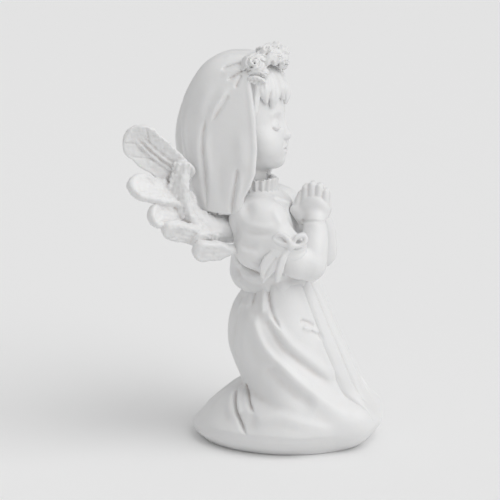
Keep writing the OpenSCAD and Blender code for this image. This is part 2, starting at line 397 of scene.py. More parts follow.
# Each fold and each crease of the front: (x, z) points, the same way.
FRONT_FOLDS = [
    ([(7.0, 63), (8.0, 50), (9.0, 38), (9.9, 26), (9.9, 16)], 1.1, 1.6, 1.3),
    ([(10.8, 62), (11.6, 50), (13.0, 38), (14.2, 26)], 0.7, 1.4, 1.6),
    ([(1.0, 61), (1.6, 48), (2.2, 34), (2.4, 20)], 0.8, 1.5, 1.2)]
FRONT_CREASES = [
    ([(8.8, 64), (10.1, 57), (11.0, 50), (12.3, 38), (13.3, 25), (13.4, 17), (12.4, 8)], 0.95, 2.1),
    ([(3.6, 63), (4.4, 50), (5.4, 37), (6.0, 24), (6.0, 13)], 1.0, 1.6)]
# Each fold of the back: (x, z) points, the same way.
BACK_FOLDS = [
    ([(1.5, 60), (2.0, 50), (1.2, 38), (2.6, 26)], -0.8, 1.4, 2.2),
    ([(5.0, 60), (6.4, 50), (6.8, 38), (8.4, 27)], 0.45, 2.0, 1.3),
    ([(9.0, 57), (11.0, 47), (12.4, 36)], -0.7, 1.4, 1.6),
    ([(3.0, 18), (5.0, 12), (8.0, 6)], 0.7, 2.4, 1.8)]


def add_legs(clay):
    """The thighs, the train that spreads round them, and the knees, heels and calves under it."""
    k, t, r = KNEE_Y, TRAIN_Y, HEM_R
    clay.add(loft([(-2, k + 9, 9, r - 8), (4, k + 4, 12, r - 5), (9, k + 0.9, 13, r - 3.5),
                   (14, k + 3.8, 14, r - 3.6), (18.5, k + 6.6, 15, r - 5), (24, k + 9.2, 17, r - 6.6),
                   (30, k + 12, 19.6, r - 7.6), (37, k + 15.2, 21.4, r - 8.2), (45, k + 19, 21.3, r - 8.6),
                   (52, k + 22.2, 19.4, r - 10.4), (58, k + 25, 16, r - 12.6),
                   (64, k + 27.6, 13, r - 15.4)]), 0)
    clay.add(loft([(-2, k + 12, t - 7, r - 8), (1, k + 7, t - 3.4, r - 4.2), (4, k + 3.0, t - 0.7, r - 1.2),
                   (7, k + 0.9, t - 2.4, r - 0.1), (10, k + 1.2, t - 5.2, r - 1.4),
                   (14, k + 6.5, t - 9.8, r - 4.4), (18, k + 14, t - 15.4, r - 8.5),
                   (21, k + 24, t - 20, r - 13)]), 1.5)
    for s in (-1, 1):
        clay.add(ball((s * 12, k + 14.5, 10), (12.5, 12.4, 9.4)), 3.5)  # knee
        clay.add(ball((s * 9, t - 22.5, 6.5), (10.5, 14, 13.6)), 2.5)  # heel
        clay.add(rod([(s * 19, -17, 8.5), (s * 20.5, -5, 10), (s * 18, 7, 12), (s * 13, 14, 13)],
                     [5.2, 6.4, 6.8, 5.8]), 3)  # calf


def skirt(p):
    narrow = 1 + 0.2 * ramp(-p[:, 1], 4, 33)  # the gown narrows towards the knees
    clay = Clay(p * np.stack([narrow, np.ones_like(narrow), np.ones_like(narrow)], 1))
    add_legs(clay)
    x, y, z = clay.p.T
    side_on = ramp(np.abs(x), 8, 14)
    front_on = ramp(-y, 0, 6)
    out = 0.14 * lumps(p, 16, 3)
    add_folds(out, THIGH_FOLDS, y, z, side_on)
    add_folds(out, FRONT_FOLDS, np.abs(x), z, front_on, (0.02, 0.12))
    add_folds(out, BACK_FOLDS, np.abs(x), z, ramp(y, 11, 16), (0.1, 0.35))
    clay.swell(out)
    for path, width, depth in THIGH_CREASES:
        clay.crease(path, y, z, width, depth, side_on)
    for path, width, depth in FRONT_CREASES:
        clay.crease(path, np.abs(x), z, width, depth, front_on, (0.02, 0.2))
    return np.maximum(clay.d, -z)


# --- the bodice, its sleeves and its collar ---

BODICE, SLEEVE = box("bodice"), box("left_sleeve")
WAIST_Z = SKIRT.hi[2] - 3
SHOULDER_Z = BODICE.hi[2] - 3
BLOUSE_R = BODICE.hi[0] - 0.2

# Each fold of the bodice's side: (y, height above the waist) points, height, widths left and right.
SIDE_FOLDS = [
    ([(-8, 7.5), (-1, 4), (7, 2.4), (14, 4.6), (19, 10)], -1.3, 1.3, 2.4),
    ([(14, 27), (17, 19), (17.5, 10)], 0.7, 2.0, 1.4),
    ([(8, 15), (13, 9), (17, 5)], -0.6, 1.4, 2.0),
    ([(4, 12), (8, 7), (12, 3.5)], 0.6, 1.6, 1.6)]
# Each fold of its front: (x, height above the waist) points, the same way.
CHEST_FOLDS = [
    ([(3, 31), (4.5, 23), (5, 15), (6, 7)], 0.5, 1.6, 1.2),
    ([(0.5, 27), (0.2, 19), (0.6, 9)], -0.5, 1.2, 1.2)]
# Each fold of a sleeve: (y, z) points from the middle of the sleeve's box, the same way.
SLEEVE_FOLDS = [
    ([(10.3, 3.4), (5.8, 2.6), (0.8, 2), (-4.2, 3.2)], 0.6, 1.8, 1.3),
    ([(9.8, 1), (4.8, 0), (-0.2, -0.4), (-5.2, 0.6)], -0.7, 1.3, 1.8),
    ([(11.8, -3.7), (6.8, -5.2), (1.8, -4.6)], -0.6, 1.2, 1.6),
    ([(10.8, -6.4), (6.4, -7.8), (2.4, -7)], 0.6, 1.4, 1.2),
    ([(7.4, -10.2), (2.8, -11.6), (-1.6, -9.6)], -0.7, 1.1, 1.4),
    ([(-1.6, 9.3), (-3.8, 5.4), (-6.2, 1.8)], 0.5, 1.4, 1.4),
    ([(12.8, 5.8), (11.4, -0.2), (11.8, -6.2), (10.8, -12.2)], -0.8, 1.2, 1.2)]
# The tuck under a sleeve, the same way as SIDE_FOLDS.
TUCK = [(18.6, 17.0), (15.8, 12.6), (13.6, 10.4), (11.0, 8.8), (8.0, 7.6), (4.0, 6.8)]


def bodice_body(p):
    w, s, r = WAIST_Z, SHOULDER_Z, BLOUSE_R
    clay = Clay(p)
    clay.add(loft([(w - 3, -6, 15, r - 5.2), (w, -9.2, 18.6, r - 1.8), (w + 3, -10.7, 20.6, r - 0.4),
                   (w + 6, -10.5, 21, r - 0.2), (w + 10, -8.6, 20.8, r - 0.4), (w + 18, -4.6, 19.8, r - 1.8),
                   (s - 4, -1.8, 19.6, r - 3), (s + 0.5, 0.4, 19.2, r - 5.0), (s + 3, 2.6, 18.0, r - 8.2),
                   (s + 5, 5.4, 16.8, r - 10.6), (s + 8, 7.0, 16.0, r - 12)]), 0)
    clay.add(rod([(-6, 3.4, s + 1.6), (-3.5, 0.6, s), (0, -0.6, s - 0.8), (3.5, 0.6, s), (6, 3.4, s + 1.6)],
                 1.5), 1.6)  # the neckline's roll
    x, y, z = p.T
    out = np.zeros(len(p), np.float32)
    around = np.arctan2(x, -(y - 6))  # 0 at the front, and +-pi at the back
    gather = ramp(z, w - 3, w - 0.5) * (1 - ramp(z, w + 2, w + 11))
    out += gather * (0.45 * np.sin(around * 13 + 0.6 * np.sin(around * 5)) + 0.3 * np.sin(around * 7 + 1))
    add_folds(out, SIDE_FOLDS, y, z - w, ramp(np.abs(x), 7, 12))
    add_folds(out, CHEST_FOLDS, np.abs(x), z - w, ramp(-y, -4, 2))
    clay.swell(out + 0.12 * lumps(p, 15, 11))
    return clay.d


def sleeve_body(p):
    """One puffed sleeve, at +X. Every place is measured from the middle of its box."""
    p = p - SLEEVE.mid.astype(np.float32)
    clay = Clay(p)
    clay.add(ball((-3.2, 5, 3.8), (8.0, 10.8, 8.2)), 0)
    clay.add(ball((-0.6, 1.8, -3.2), (6.5, 11.0, 9.2)), 3.0)
    clay.add(ball((-0.3, 5.2, -7.4), (6.0, 7.8, 8.2)), 2.4)
    clay.add(rod([(-0.5, -3.2, -4.2), (-1.2, -7.8, -7.6)], [6.6, 6.0]), 2.0)
    x, y, z = p.T
    out = np.zeros(len(p), np.float32)
    add_folds(out, SLEEVE_FOLDS, y, z, fade=(0.35, 0.35))
    out -= 1.5 * np.exp(-((y - 7.2) ** 2 + (z - 7.6) ** 2) / 5.5) * ramp(x, -8.8, -5.8)
    out += 0.22 * np.sin(np.arctan2(x + 0.4, z + 6.2) * 9) * (1 - ramp(y, -11.2, -6.2))
    clay.swell(out + 0.16 * lumps(p, 9, 5))
    return clay.d


def bodice_side(p):
    """The bodice and the sleeve at +X as one soft surface, and how far past the seam between them p is."""
    body, sleeve = bodice_body(p), sleeve_body(p)
    both = Clay(p)
    both.d = soft_min(body, sleeve, 1.4)
    both.crease(TUCK, p[:, 1], p[:, 2] - WAIST_Z, 1.1, 2.0, ramp(p[:, 0], 9, 13), (0.25, 0.2))
    return both.d, (body - sleeve) / 2


def up_to_seam(both, out):
    """One of the two parts of both: past the seam it dips under the other, and it ends 1.5 mm past it."""
    return np.maximum(both + 0.3 * np.maximum(out, 0), out - 1.5)


def mirrored(p):
    return p * np.array([-1, 1, 1], np.float32)


def bodice(p):
    folded = np.abs(p) * np.array([1, 0, 0], np.float32) + p * np.array([0, 1, 1], np.float32)
    return up_to_seam(*bodice_side(folded))


def left_sleeve(p):
    both, out = bodice_side(p)
    return up_to_seam(both, -out)


def right_sleeve(p):
    return left_sleeve(mirrored(p))


def collar(p):
    """A pleated frill that stands round the neck."""
    x, y, z = p.T
    around = box("collar")
    turn = np.arctan2(x, -(y - around.mid[1]))
    far = np.hypot(x, y - around.mid[1])
    up = (z - around.lo[2]) / around.size[2]
    flare = 6.5 + 0.9 * np.abs(up - 0.4) + 0.36 * np.sin(turn * 22 + 0.8 * np.sin(turn * 3))
    wall = np.abs(far - flare) - 0.8
    rough = 0.15 * np.sin(turn * 22) + 0.3 * np.sin(turn * 4)
    ends = np.maximum(around.lo[2] - 0.6 - z, z - around.hi[2] - 2.8 + rough)
    return np.maximum(wall, ends).astype(np.float32)


# --- arms, hands and bows, at +X ---

ARM, BOW = box("left_arm"), box("left_bow")
ARM_AT = np.array([0, ARM.lo[1], ARM.lo[2]], np.float32)
# Every place in an arm is measured from ARM_AT, and every place in a bow from the middle of its box.
# Each finger: its place across the palm, the height of its tip, its radius.
FINGERS = [(2.4, 32.1, 1.3), (4.8, 34.1, 1.45), (7.4, 34.7, 1.5), (9.8, 33.6, 1.4)]
BOW_LOOPS = [
    [(-0.34, -2.15, 5.3), (0.26, -0.95, 7.3), (0.06, 1.65, 8.3),
     (0.26, 3.65, 6.9), (0.46, 1.85, 5.3), (0.26, -0.95, 4.7)],
    [(-0.34, -2.95, 5.3), (-0.74, -4.35, 7.3), (-1.94, -6.55, 7.9),
     (-2.34, -7.15, 5.9), (-1.34, -5.35, 4.3), (-0.14, -3.15, 4.5)]]
ARM_SPANS = 14  # short lengths in each stretch of an arm, so that no rings show on it


def left_arm(p):
    p = p - ARM_AT
    clay = Clay(p)
    clay.add(rod([(16.5, 16.2, 13.4), (14.6, 11.4, 7.9), (11.6, 6.8, 6.1)], [5.5, 6.2, 6.1], ARM_SPANS), 0)
    clay.add(rod([(11.6, 6.2, 6.2), (9.2, 5.4, 12.1), (6.4, 5.3, 17.1), (4.6, 5.7, 20.9)],
                 [6.1, 5.4, 4.6, 3.9], ARM_SPANS), 1.2)
    clay.add(ball((2.9, 6.4, 24.7), (2.8, 5.8, 5.2)), 1.8)  # palm
    clay.add(rod([(3, 10.6, 21.3), (2.6, 13.4, 24.1)], [2.5, 2.1]), 1.8)  # heel of the thumb
    clay.add(rod([(2.3, 12.6, 24.7), (1.9, 12.2, 27.7), (1.7, 11.6, 30.1)], [1.9, 1.5, 1.15]), 0.6)  # thumb
    for y, tip, r in FINGERS:
        clay.add(rod([(2.5, y + 0.2, 25.2), (2.3, y, 28.5), (1.7, y, tip - r)],
                     [r + 0.2, r + 0.15, r]), 0.3)
    x, y, z = p.T
    out = fold([(0, 20.1), (5, 21.3), (11, 20.7)], y, z, -0.5, 0.5, 0.6, (0.1, 0.1)) * ramp(x, 1, 3)
    out += fold([(11.6, 16.2), (9.6, 13.3), (7.4, 11.3)], y, z, -2.2, 0.9, 1.2) * ramp(x, 9, 12)
    clay.swell(out + 0.08 * lumps(p, 7, 8))
    return np.maximum(clay.d, 0.06 - x)  # the palms all but touch


def right_arm(p):
    return left_arm(mirrored(p))


def left_bow(p):
    p = p - BOW.mid.astype(np.float32)
    clay = Clay(p)
    for loop in BOW_LOOPS:
        clay.add(strap(loop, 1.5, 0.85, (1, 0, 0)), 0.4)
    clay.add(strap([(-0.34, -1.15, 4.7), (0.66, 1.65, 4.9), (0.86, 4.65, 4.1), (0.06, 6.25, 2.7)],
                   [1.4, 2.0, 2.2, 1.2], 0.8, (0, 0.2, 1)), 0.4)  # ribbon along the cuff
    clay.add(ball((0.06, -2.35, 4.7), (1.9, 1.9, 2.1)), 0.4)  # knot
    clay.add(strap([(-0.14, -1.35, 3.9), (0.86, 2.65, 0.9), (1.46, 5.85, -3.9), (1.46, 7.45, -8.9)],
                   [1.2, 2.6, 2.9, 0.5], 0.9, (0.1, 1, 0.35)), 0.4)  # wide tail
    clay.add(strap([(-0.14, -1.95, 3.5), (1.26, 0.25, -0.5), (1.26, 1.45, -4.5), (0.66, 2.45, -8.5)],
                   [1.0, 1.3, 1.4, 1.0], 0.85, (0.55, 1, 0)), 0.4)  # narrow tail
    y, z = p.T[1:]
    out = fold([(2.25, 0.5), (5.25, -3.5), (7.45, -8.1)], y, z, -0.45, 0.5, 0.5) * (z < 2.5)
    clay.swell(out + 0.06 * lumps(p, 4, 2))
    return clay.d


def right_bow(p):
    return left_bow(mirrored(p))


# --- the head, its face and its hair ---

HEAD = box("head")
HEAD_Z = HEAD.hi[2] - 18.3
SKULL_Y = 18.5
SKULL_R = (HEAD.hi[0] - 0.5, 17.0, 17.8)

# Each line of the face: (x, z) points, height, its widths on the left and right, how its ends fade.
FACE_FOLDS = [
    # the line between the eyelids, and the rim of the upper one
    ([(3.2, -7.9), (4.6, -8.7), (6.4, -9.0), (8.2, -8.5), (9.6, -7.4)], -0.75, 0.32, 0.36, (0.1, 0.1)),
    ([(3.4, -7.2), (4.8, -7.9), (6.4, -8.1), (8.0, -7.7), (9.6, -6.7)], 0.22, 0.5, 0.3, (0.15, 0.1)),
    ([(2.6, -3.6), (5, -2.3), (7.6, -2.4), (10, -4)], 0.35, 1.0, 1.0, (0.12, 0.2)),  # brow
    ([(-1, -16.3), (0.3, -16.25), (1.4, -16.1), (3.0, -16.2)], -0.75, 0.26, 0.3, (0, 0.1)),  # mouth
    ([(0, -13.0), (0, -14.6)], -0.3, 0.5, 0.5, (0.1, 0.3)),  # the groove above it
    ([(-1, -18.6), (1.4, -18.5)], -0.25, 0.7, 0.7, (0, 0.3)),  # the dip under it
    ([(1.9, -12.4), (3.0, -13.4), (3.9, -15.4)], -0.28, 0.5, 0.8, (0.12, 0.2))]  # edge of the cheek


def head(p):
    """Every height below is measured from the middle of the skull, and both halves are the same."""
    q = np.stack([np.abs(p[:, 0]), p[:, 1], p[:, 2] - HEAD_Z], 1)
    clay = Clay(q)
    clay.add(ball((0, SKULL_Y, 0), SKULL_R), 0)
    clay.add(ball((0, 13.0, -11.8), (14.4, 12.4, 12.4)), 5)  # the face as a whole
    clay.add(ball((7.4, 7.6, -13.6), (6.6, 6.6, 6.6)), 3)  # cheek
    clay.add(ball((0, 8.0, -18.0), (8.2, 6.6, 5.8)), 3)  # jaw
    clay.add(ball((0, 4.2, -20.2), (3.9, 3.3, 3.2)), 2.2)  # chin
    clay.add(ball((0, 3.4, -15.8), (4.6, 3.0, 3.4)), 1.8)  # muzzle
    clay.add(rod([(0, 13.5, -42), (0, 14.6, -18)], [6.6, 6.2]), 1.5)  # neck
    clay.cut(ball((6.2, -1.4, -5.6), (5.0, 4.2, 2.9)), 3.0)  # eye socket
    clay.add(ball((6.1, 5.4, -7.0), (3.3, 3.5, 2.6)), 0.9)  # closed eye
    clay.add(rod([(0, 2.6, -5.0), (0, 1.5, -8.6), (0, 0.4, -11.2)], [1.1, 1.35, 1.7]), 1.5)  # nose
    clay.add(ball((0, 0.5, -11.6), (1.75, 1.7, 1.5)), 0.7)  # tip of the nose
    clay.add(ball((1.55, 1.7, -12.0), (1.1, 1.4, 1.05)), 0.5)  # nostril
    clay.add(rod([(0, 0.85, -15.3), (1.0, 0.75, -15.0), (3.0, 2.3, -15.9)], [0.75, 0.85, 0.35]), 0.5)  # lips
    clay.add(rod([(0, 1.1, -17.3), (1.3, 1.35, -17.1), (2.7, 2.5, -16.3)], [1.0, 0.9, 0.35]), 0.5)
    x, y, z = q.T
    out = np.zeros(len(q), np.float32)
    for path, height, left, right, fade in FACE_FOLDS:
        out += fold(path, x, z, height, left, right, fade)
    clay.swell(out * (1 - ramp(y, 8, 12)) + 0.05 * lumps(q, 9, 4))
    return clay.d


def on_skull(turn, rise, off):
    """A point off mm outside the skull: turn is its angle from the front towards +X in degrees."""
    a = math.radians(turn)
    s = math.sqrt(max(1 - (rise / SKULL_R[2]) ** 2, 0.02))
    across, back = SKULL_R[0] * s + off, SKULL_R[1] * s + off
    return math.sin(a) * across, SKULL_Y - math.cos(a) * back, HEAD_Z + rise


# Each lock of the fringe: its angle at the top and at the tip, the height of its tip, its thickness.
LOCKS = [
    (-62, -75, -13, 2.0), (-54, -61, -4.0, 2.3), (-41, -45, 2.4, 2.9), (-25, -31, 1.0, 3.3),
    (-8, -13, 3.0, 3.3), (9, 5, 1.2, 3.3), (26, 24, 3.0, 3.1), (41, 44, 1.4, 2.8),
    (53, 60, -4.0, 2.3), (62, 75, -13, 2.0)]


def fringe(p):
    """Each lock is three strands side by side, the middle one a little prouder."""
    clay = Clay(p)
    for k, (top, tip, end, thick) in enumerate(LOCKS):
        curl = 3.0 if k % 2 else -2.0
        for strand in (-1, 0, 1):
            spread = strand * 1.2 * thick
            raised = 0.5 if strand == 0 else 0.0
            clay.add(rod([on_skull(top + spread, 15.5, 0.0),
                          on_skull(top + spread * 1.3, 11.5, 0.7 + raised),
                          on_skull((top + tip) / 2 + spread * 1.3 + curl * 0.4, 7.0, 1.0 + raised),
                          on_skull(tip + spread * 0.9, end + 2.6, 1.2 + raised),
                          on_skull(tip + spread * 0.2 - curl, end - 0.6, 0.7)],
                         [thick * 0.36, thick * 0.44, thick * 0.48, thick * 0.4, thick * 0.22]), 0.3)
    clay.swell(0.1 * lumps(p, 4, 6))
    return clay.d


# --- the veil ---

VEIL = box("veil")
VEIL_R, HEM_Z = VEIL.hi[0], VEIL.lo[2]
VEIL_TOP = VEIL.size[2]
VEIL_WALL = 1.9
# The front edge of the veil, as (height above the hem, y).
RIM = [(-4, 14.6), (1.5, 13.4), (6, 12.2), (10, 10.0), (15, 8.2), (24, 7.6), (34, 8.2), (41, 9.2),
       (46, 10.2), (51, 11.0), (55, 10.6), (60, 11.5)]
VEIL_FORM = loft([(-4, -3, 31.2, VEIL_R - 1.0), (0, -3.4, 32.2, VEIL_R - 0.8), (9, -5.4, 35.4, VEIL_R - 0.4),
                  (20, -6, 39.4, VEIL_R - 0.2), (31, -6, 39.8, VEIL_R - 0.1), (39.5, -3, 37.8, VEIL_R - 0.7),
                  (47, 1, 34.2, VEIL_R - 2.6), (52.5, 5, 30.4, VEIL_R - 6),
                  (VEIL_TOP - 1.5, 10, 25.4, VEIL_R - 11), (VEIL_TOP - 0.1, 14, 21.6, VEIL_R - 16)], 2.9)
# Each fold of one side: (y, height above the hem) points, height, its widths on the left and right.
VEIL_FOLDS = [
    ([(24.8, 34), (25.6, 25), (24.9, 17), (24.5, 4)], 0.6, 1.2, 1.5),
    ([(28.8, 34), (29.4, 24), (28.9, 16), (28.4, 2)], 0.5, 1.3, 1.3),
    ([(16.6, 46.5), (19.4, 43), (22.4, 38), (25.6, 32)], 0.8, 1.7, 0.9),
    ([(23, 50), (27, 40), (29, 31)], 0.5, 2.6, 2.2),
    ([(14.2, 55.8), (18, 56.2), (22, 55.2)], 0.4, 1.2, 1.1),
    ([(14.6, 52.9), (17.6, 51.6), (21.4, 49.2)], 0.4, 1.0, 1.1),
    ([(12.6, 16), (13.2, 10), (14.6, 4), (15.2, -1)], 0.7, 1.1, 1.1),
    ([(20.2, 24), (20.6, 12), (20.8, 0)], -0.35, 1.8, 1.8),
    ([(13.2, 32), (12.6, 23), (12.4, 15)], 0.6, 2.2, 2.4),
    ([(33, 42), (35, 29), (33.4, 17), (31, 2)], 0.7, 1.3, 1.5),
    ([(35.5, 42), (37.4, 29), (35.8, 17), (33, 2)], -0.5, 1.0, 1.2)]
# Each fold of the back: (x, height above the hem) points, the same way.
VEIL_BACK_FOLDS = [
    ([(0, 50), (0.8, 34), (0.2, 16), (0.6, 0)], 0.6, 2.0, 2.4),
    ([(4.6, 48), (5.6, 32), (5.2, 16), (5, -1)], -0.9, 1.3, 1.5),
    ([(8.4, 44), (9.4, 30), (9.2, 14), (8.8, -1)], 0.7, 1.9, 1.6),
    ([(12.4, 38), (12.8, 26), (12.2, 12), (11.8, -1)], -0.8, 1.2, 1.4)]
# Each crease of one side: (y, height above the hem) points, half its width, its depth.
VEIL_CREASES = [
    ([(25.7, 36), (27.2, 27), (26.7, 17), (26.3, 7), (26.1, -2)], 0.9, 1.0),
    ([(17.4, 43.4), (20.6, 38), (24, 32.6)], 0.7, 0.7),
    ([(13.6, 53.6), (17.4, 52.8), (22, 51.2)], 0.9, 1.4),
    ([(13.2, 51.4), (15.6, 49.8), (19.2, 47.6)], 0.9, 1.3),
    ([(13.4, 50), (14.8, 47.4), (15.4, 44.6)], 0.7, 0.9),
    ([(14, 18), (15.2, 11), (16.4, 4), (17, -4)], 1.0, 1.2)]


def veil(p):
    """Every height below is measured from the hem."""
    p = p - np.array([0, 0, HEM_Z], np.float32)
    x, y, z = p.T
    side = np.abs(x)
    clay = Clay(p)
    clay.add(VEIL_FORM, 0)
    clay.cut(rod([(18.6, 30.6, 19), (18.6, 31, 11), (17.8, 31.4, 3), (17.6, 31.6, -6)],
                 [0.8, 3.8, 5.4, 5.8]), 0.6)  # the recess behind the front panel
    out = 0.16 * lumps(p, 18, 21)
    side_on = ramp(side, 6, 11)
    add_folds(out, VEIL_FOLDS, y, z, side_on, (0.4, 0.35))
    add_folds(out, VEIL_BACK_FOLDS, side, z, ramp(y, 24, 30), (0.4, 0.05))
    clay.swell(out)
    for path, width, depth in VEIL_CREASES:
        clay.crease(path, y, z, width, depth, side_on)
    rim = np.interp(z, *zip(*RIM)).astype(np.float32) - y
    shell = np.maximum(clay.d, rim)
    inner = ramp(-clay.d, 2, 3) * ramp(y, 19, 22)  # the folds inside hang lower at the back
    shell = np.maximum(shell, 0.3 * np.sin(y * 0.3) - 2.6 * inner - z)
    roll = np.sqrt((clay.d + 0.85) ** 2 + (rim + 0.7) ** 2) - 1.0  # the rolled front edge
    shell = np.where(z < 0.6, shell, soft_min(shell, roll, 0.6))
    room = np.minimum(y - 17 - 3 * ramp(z, 12, 2), np.maximum(z - 5, y - 23))
    hollow = np.maximum(np.maximum(clay.d + VEIL_WALL, room), z - VEIL_TOP + 3.5)
    return np.maximum(shell, -hollow)


# --- the wreath: roses and leaves ---

ROSE_R = box("rose_left_side").size[2] * 0.55
BUD_R = ROSE_R * 0.54
# Each ring of petals: how many, then how far out, how high and how large they are as shares of the
# rose's radius.
PETAL_RINGS = [(5, 0.68, -0.05, 0.46), (4, 0.42, 0.3, 0.36), (3, 0.2, 0.55, 0.26)]


def frame_of(out, up=(0, 0, 1)):
    """Three unit vectors, the last along out."""
    w = unit(out)
    u = unit(np.cross(up, w))
    return np.array([u, np.cross(w, u), w], np.float32)


def rose(p, centre, out, r, seed):
    """A rolled bud inside uneven rings of petals. r is its radius."""
    rng = np.random.default_rng(seed)
    axes = frame_of(out)
    q = (p - np.asarray(centre, np.float32)) @ axes.T
    clay = Clay(q)
    clay.add(ball((0, 0, -0.15 * r), (r * 0.62, r * 0.62, r * 0.66)), 0)
    for count, reach, lift, size in PETAL_RINGS:
        for k in range(count):
            a = 2 * math.pi * (k + 0.3 * rng.uniform(-1, 1)) / count
            away = np.array([math.cos(a), math.sin(a), 0])
            aside = np.cross((0, 0, 1), away)
            tilt = unit(away + np.array([0, 0, 0.5 + 1.2 * lift]))
            rows = np.array([aside, np.cross(tilt, aside), tilt])
            wide = r * size * (1 + 0.22 * rng.uniform(-1, 1))
            spot = away * r * reach + np.array([0, 0, lift * r])
            clay.add(ball(spot, (wide, wide, r * 0.16), rows), 0.1)
    shift = rng.uniform(-0.12, 0.12, 2) * r
    turn = np.arctan2(q[:, 1] - shift[1], q[:, 0] - shift[0])
    far = np.hypot(q[:, 0] - shift[0], (q[:, 1] - shift[1]) * 1.25)
    spiral = np.cos(turn - far * (2 * math.pi / (r * 0.32)) + 0.6 * np.sin(turn * 2 + seed))
    bud = ramp(q[:, 2], 0.0, 0.3 * r) * (1 - ramp(far, 0.55 * r, 0.8 * r))
    clay.swell((0.26 * spiral * bud + 0.16 * lumps(p, 2.2, seed)).astype(np.float32))
    return clay.d


def leaf(p, root, tip, out, half_width):
    """A small leaf that lies along the hair, with a rib down its middle."""
    way = unit(np.subtract(tip, root))
    across = unit(np.cross(out, way))
    axes = np.array([way, across, np.cross(way, across)], np.float32)
    q = (p - np.asarray(root, np.float32)) @ axes.T
    span = float(np.linalg.norm(np.subtract(tip, root)))
    t = np.clip(q[:, 0] / span, 0, 1)
    half = half_width * np.sin(math.pi * np.clip(t * 0.86 + 0.12, 0, 1)) ** 0.7
    cup = 0.12 * q[:, 1] ** 2 / half_width + 0.9 * t * t
    side = np.abs(q[:, 1]) - half
    rib = 0.25 * np.exp(-(q[:, 1] / 0.35) ** 2)
    veins = 0.12 * np.sin(q[:, 0] * 4 + np.abs(q[:, 1]) * 3)
    face = np.abs(q[:, 2] - cup) - 0.75 + rib + veins
    ends = np.maximum(-q[:, 0] - 0.4, q[:, 0] - span)
    return np.maximum(np.maximum(side, ends), face).astype(np.float32) * 0.8


def rose_middle(p):
    middle = box("rose_middle").mid
    top = rose(p, middle + (0, 0.2, 0.2), (0.05, -0.7, 0.7), ROSE_R, 1)
    low = rose(p, middle + (-2, -1.8, -2.4), (-0.4, -0.9, 0.1), BUD_R, 12)
    return soft_min(top, low, 0.2)


def front_rose(p, seed):
    middle = box("rose_left_front").mid
    big = rose(p, middle + (-0.3, 0, -0.1), (0.5, -0.4, 0.76), ROSE_R, seed)
    small = rose(p, middle + (-2.3, -3.2, -1.1), (0.3, -0.85, 0.4), BUD_R, seed + 10)
    return soft_min(big, small, 0.2)


def rose_left_front(p):
    return front_rose(p, 2)


def rose_right_front(p):
    return front_rose(mirrored(p), 3)


def side_rose(p, seed):
    middle = box("rose_left_side").mid
    big = rose(p, middle + (-0.4, -0.1, 0.6), (0.93, -0.25, 0.3), ROSE_R, seed)
    small = rose(p, middle + (-0.8, -3.1, -2.8), (0.85, -0.5, -0.1), BUD_R, seed + 10)
    return soft_min(big, small, 0.2)


def rose_left_side(p):
    return side_rose(p, 4)


def rose_right_side(p):
    return side_rose(mirrored(p), 5)


def leaf_left(p):
    middle = box("leaf_left").mid
    return leaf(p, middle + (-1.0, 3.5, 1.0), middle + (-1.4, -2.7, 0.2), (0.9, -0.2, -0.4), 1.5)


def leaf_right(p):
    return leaf_left(mirrored(p))


# --- wings, at +X ---

WING = box("left_wing")
WING_ROOT = np.array([0, WING.lo[1] + 3.6, WING.lo[2] + 7.8], np.float32)
# Every place in a wing is measured from WING_ROOT. Each feather: its root and tip, the way its face
# looks, half its width, half its thickness, how high its rib and its barbs stand, and how wide it is at
# the root as a share of its width.
FEATHERS = [
    ((20.8, 20.0, 23), (34, 34.6, 39), (0.90, -0.34, -0.26), 7.4, 1.2, 0.6, 0.0, 0.85),
    ((20, 17, 12.6), (36.2, 33.6, 20.8), (0.56, -0.50, 0.66), 5.7, 1.9, 0.08, 0.1, 0.75),
    ((18, 16, 4.6), (35.8, 26, 10), (0.74, -0.50, 0.44), 4.6, 1.8, 0.08, 0.16, 0.8),
    ((15.5, 9.6, -1.4), (34.4, 21.4, 4.6), (0.84, -0.40, -0.36), 4.1, 2.2, 0.1, 0.22, 0.9),
    ((12, 2.2, -0.6), (25.2, 13.4, -1.2), (0.86, -0.36, -0.34), 3.9, 2.2, 0.1, 0.14, 0.8),
    ((17.6, -1.2, -5), (27.2, 13, -4.8), (0.88, -0.34, -0.34), 4.2, 2.2, 0.06, 0.1, 0.35)]
SET_FORWARD = 0.12  # how far the left wing leans forward of the right one, in mm for each mm out


